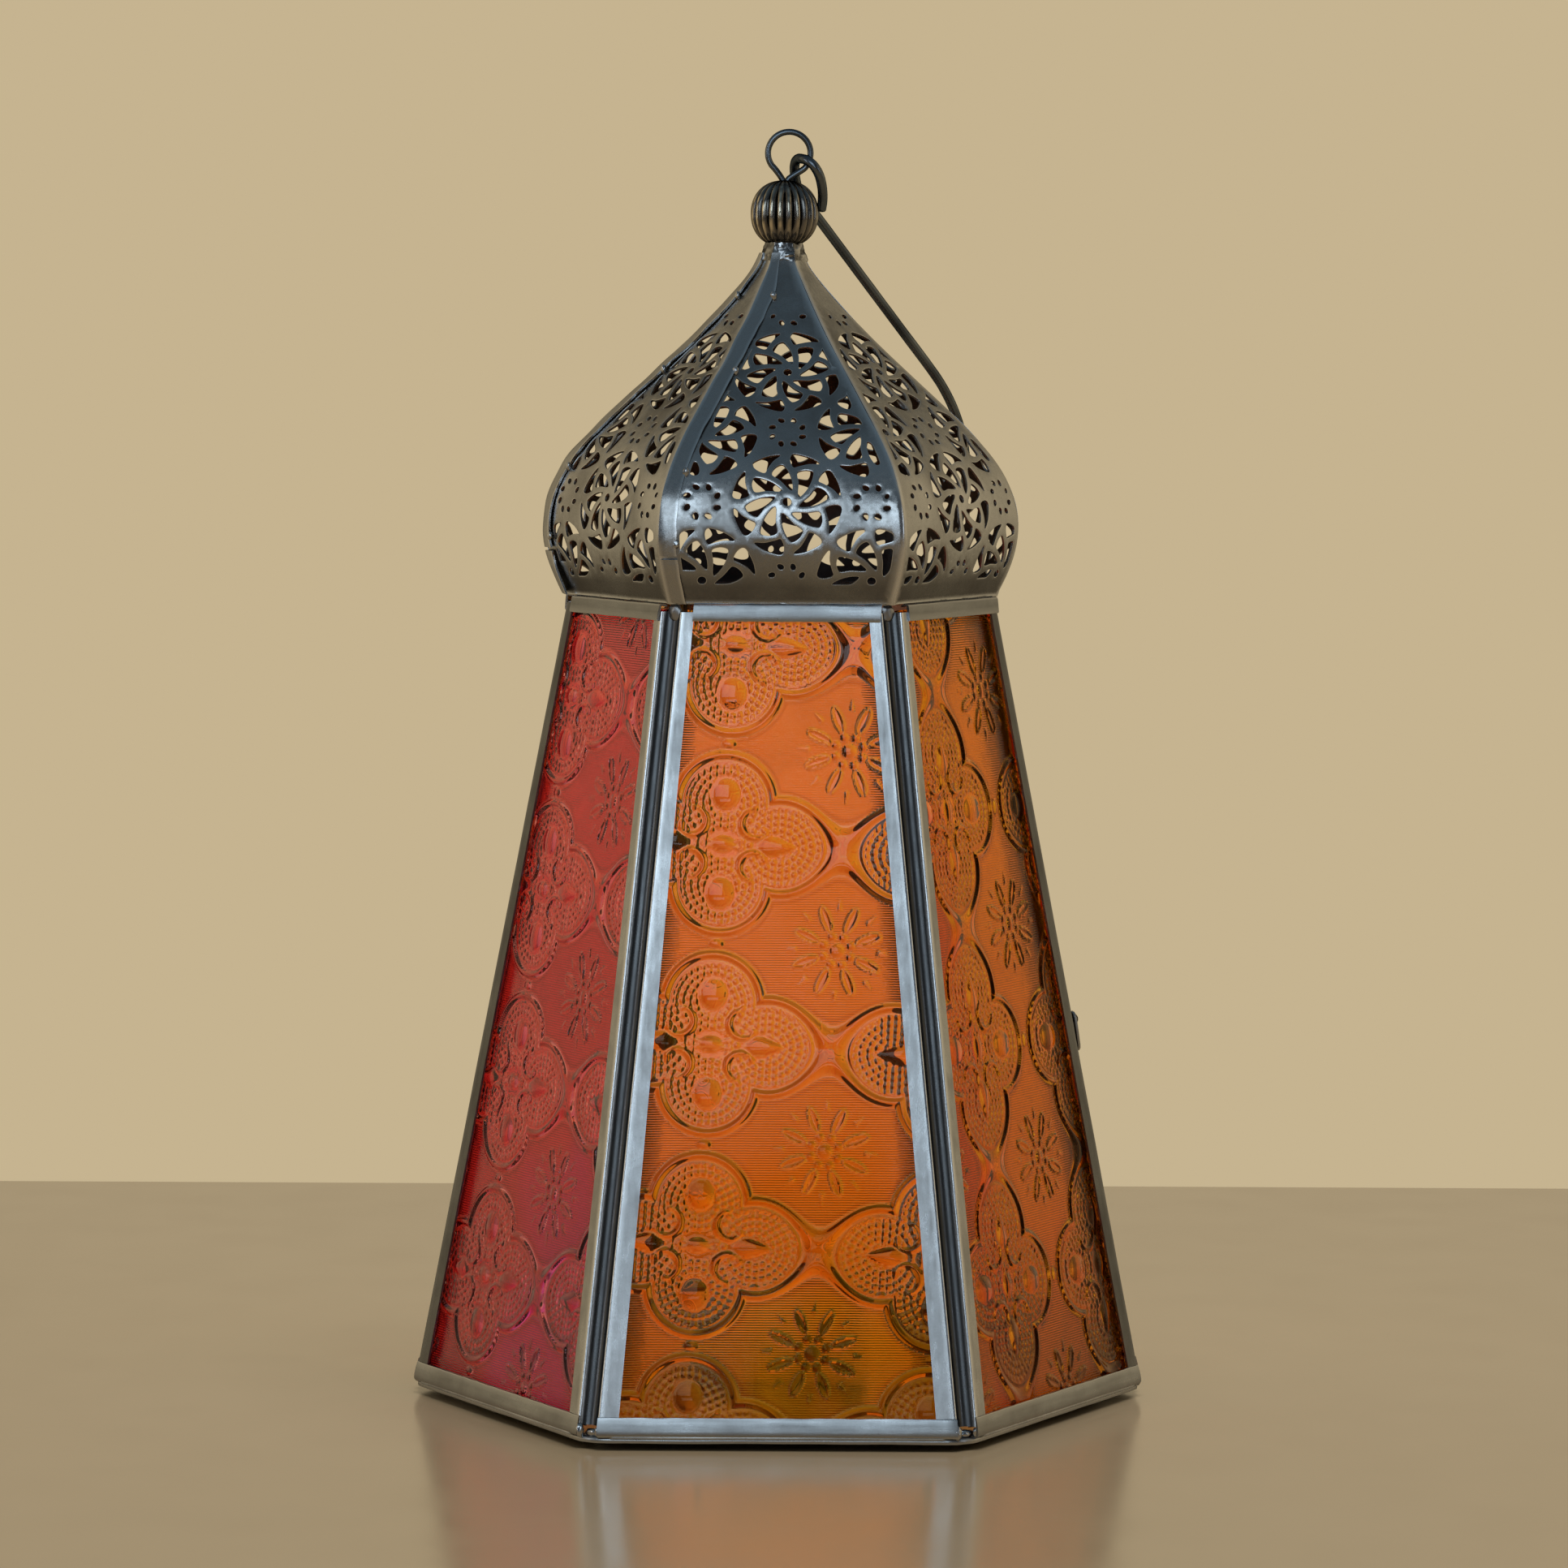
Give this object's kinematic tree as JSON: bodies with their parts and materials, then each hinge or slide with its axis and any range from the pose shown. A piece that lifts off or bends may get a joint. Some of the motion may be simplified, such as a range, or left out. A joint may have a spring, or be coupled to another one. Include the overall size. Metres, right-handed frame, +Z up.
{
  "type": "candle lantern",
  "caption": "Hexagonal sheet-metal candle lantern with pressed coloured glass panes, a hinged glass door, an onion dome, a fluted ball and a swinging wire hook.",
  "frame": {"origin": "on the table plane, under the middle of the hexagonal base", "axes": "+Z up along the lantern, -Y out of the front pane, +X to the right seen from the front, through a corner post"},
  "size_m": [0.177, 0.1568, 0.3063],
  "materials": {
    "zinc_sheet": "aged satin sheet with worn bright edges",
    "steel_wire": "dark drawn wire, slightly oxidised",
    "cast_pewter": "aged casting, rubbed bright on the ribs",
    "glass_back": "pressed relief on the outside, clear coloured body",
    "glass_back_left": "pressed relief on the outside, clear coloured body",
    "glass_back_right": "pressed relief on the outside, clear coloured body",
    "glass_front": "pressed relief on the outside, clear coloured body",
    "glass_front_left": "pressed relief on the outside, clear coloured body",
    "glass_front_right": "pressed relief on the outside, clear coloured body"
  },
  "bodies": {
    "lantern": {"base_plate": "zinc_sheet", "candle_cup": "zinc_sheet", "dome_petal_back": "zinc_sheet", "dome_petal_back_left": "zinc_sheet", "dome_petal_back_right": "zinc_sheet", "dome_petal_front": "zinc_sheet", "dome_petal_front_left": "zinc_sheet", "dome_petal_front_right": "zinc_sheet", "dome_seam_front_left": "zinc_sheet", "dome_seam_left": "zinc_sheet", "fluted_ball": "cast_pewter", "foot_back_left": "zinc_sheet", "foot_front_left": "zinc_sheet", "foot_right": "zinc_sheet", "hinge_lower_pin": "steel_wire", "hinge_lower_post_leaf": "zinc_sheet", "hinge_upper_pin": "steel_wire", "hinge_upper_post_leaf": "zinc_sheet", "latch_rivet": "steel_wire", "neck_collar": "cast_pewter", "pane_back": "glass_back", "pane_back_left": "glass_back_left", "pane_front": "glass_front", "pane_front_left": "glass_front_left", "pane_front_right": "glass_front_right", "post_back_left": "zinc_sheet", "post_back_right": "zinc_sheet", "post_front_left": "zinc_sheet", "post_front_right": "zinc_sheet", "post_left": "zinc_sheet", "post_right": "zinc_sheet", "rail_bottom_back": "zinc_sheet", "rail_bottom_back_left": "zinc_sheet", "rail_bottom_back_right": "zinc_sheet", "rail_bottom_front": "zinc_sheet", "rail_bottom_front_left": "zinc_sheet", "rail_bottom_front_right": "zinc_sheet", "rail_top_back": "zinc_sheet", "rail_top_back_left": "zinc_sheet", "rail_top_back_right": "zinc_sheet", "rail_top_front": "zinc_sheet", "rail_top_front_left": "zinc_sheet", "rail_top_front_right": "zinc_sheet", "wire_eye": "steel_wire"},
    "door": {"door_pane": "glass_back_right", "door_rail_bottom": "zinc_sheet", "door_rail_top": "zinc_sheet", "door_stile_hinge_side": "zinc_sheet", "door_stile_latch_side": "zinc_sheet", "hinge_lower_door_leaf": "zinc_sheet", "hinge_upper_door_leaf": "zinc_sheet"},
    "latch": {"latch_button": "zinc_sheet"},
    "hook": {"hanging_hook": "steel_wire"}
  },
  "joints": [
    {"name": "door_hinge", "type": "hinge", "parent": "lantern", "child": "door", "pos_m": [0.04795, 0.06815, 0.02436], "axis": [-0.0989, -0.157, 0.9826], "range_deg": [0, 110]},
    {"name": "latch_turn", "type": "hinge", "parent": "lantern", "child": "latch", "pos_m": [0.07055, 0.00381, 0.0912], "axis": [0.8542, 0.4932, 0.1648], "range_deg": [0, 90]},
    {"name": "hook_swing", "type": "hinge", "parent": "lantern", "child": "hook", "pos_m": [0.00135, 0, 0.3004], "axis": [0, -0.9925, -0.1219], "range_deg": [0, 170]}
  ]
}
